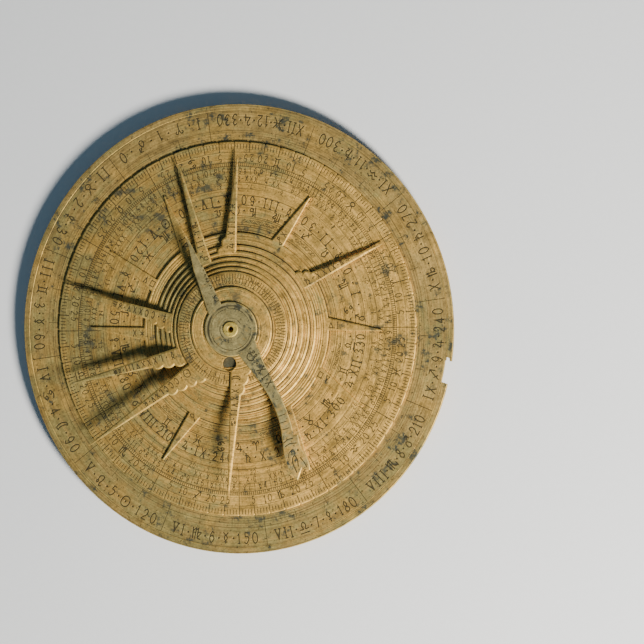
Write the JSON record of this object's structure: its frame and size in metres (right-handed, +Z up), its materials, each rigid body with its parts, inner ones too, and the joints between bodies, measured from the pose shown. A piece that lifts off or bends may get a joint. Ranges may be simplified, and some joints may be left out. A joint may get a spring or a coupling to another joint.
{
  "type": "planetary astrolabe",
  "caption": "Engraved brass disc of houses with stacked rotating zodiac, aspect, planet, sun, moon and node discs with hands, all on one hollow central rivet.",
  "frame": {"origin": "centre of the foot ring that the instrument rests on, on the axis of the arbor", "axes": "+Z up out of the engraved face along the arbor; +X towards the boundary of houses near the tenth house, +Y across, towards the first house; at rest the zodiac disc and the base plate are in line"},
  "size_m": [0.3, 0.3, 0.0255],
  "materials": {
    "outer_brass": "aged, olive patina, engraved",
    "disc_brass": "aged, turned rings, engraved",
    "hand_brass": "aged, rubbed bright at the edges",
    "green_brass": "aged, grey-green patina",
    "bright_brass": "bright, worn",
    "back_brass": "aged, turned",
    "dark_inlay": "black inlay, matt"
  },
  "bodies": {
    "frame": {"base_plate": "outer_brass", "rim_band": "outer_brass", "rear_hub": "back_brass", "hub_rivets": "back_brass", "arbor": "bright_brass", "tail_washer": "back_brass", "disc_spacers": "back_brass"},
    "zodiac": {"zodiac_disc": "disc_brass"},
    "aspect": {"aspect_disc": "disc_brass"},
    "saturn": {"saturn_disc": "hand_brass"},
    "jupiter": {"jupiter_disc": "hand_brass"},
    "mars": {"mars_disc": "hand_brass"},
    "venus": {"venus_disc": "hand_brass"},
    "mercury": {"mercury_disc": "hand_brass"},
    "sun": {"sun_disc": "hand_brass", "moon_phase_inlay": "dark_inlay"},
    "moon": {"moon_disc": "hand_brass"},
    "node": {"node_hand": "green_brass"}
  },
  "joints": [
    {"name": "zodiac_turn", "type": "hinge", "parent": "frame", "child": "zodiac", "pos_m": [0, 0, 0.01], "axis": [0, 0, 1], "continuous": true},
    {"name": "aspect_turn", "type": "hinge", "parent": "frame", "child": "aspect", "pos_m": [0, 0, 0.01], "axis": [0, 0, 1], "continuous": true},
    {"name": "saturn_turn", "type": "hinge", "parent": "frame", "child": "saturn", "pos_m": [0, 0, 0.01], "axis": [0, 0, 1], "continuous": true},
    {"name": "jupiter_turn", "type": "hinge", "parent": "frame", "child": "jupiter", "pos_m": [0, 0, 0.01], "axis": [0, 0, 1], "continuous": true},
    {"name": "mars_turn", "type": "hinge", "parent": "frame", "child": "mars", "pos_m": [0, 0, 0.01], "axis": [0, 0, 1], "continuous": true},
    {"name": "venus_turn", "type": "hinge", "parent": "frame", "child": "venus", "pos_m": [0, 0, 0.01], "axis": [0, 0, 1], "continuous": true},
    {"name": "mercury_turn", "type": "hinge", "parent": "frame", "child": "mercury", "pos_m": [0, 0, 0.01], "axis": [0, 0, 1], "continuous": true},
    {"name": "sun_turn", "type": "hinge", "parent": "frame", "child": "sun", "pos_m": [0, 0, 0.01], "axis": [0, 0, 1], "continuous": true},
    {"name": "moon_turn", "type": "hinge", "parent": "frame", "child": "moon", "pos_m": [0, 0, 0.01], "axis": [0, 0, 1], "continuous": true},
    {"name": "node_turn", "type": "hinge", "parent": "frame", "child": "node", "pos_m": [0, 0, 0.01], "axis": [0, 0, 1], "continuous": true}
  ]
}
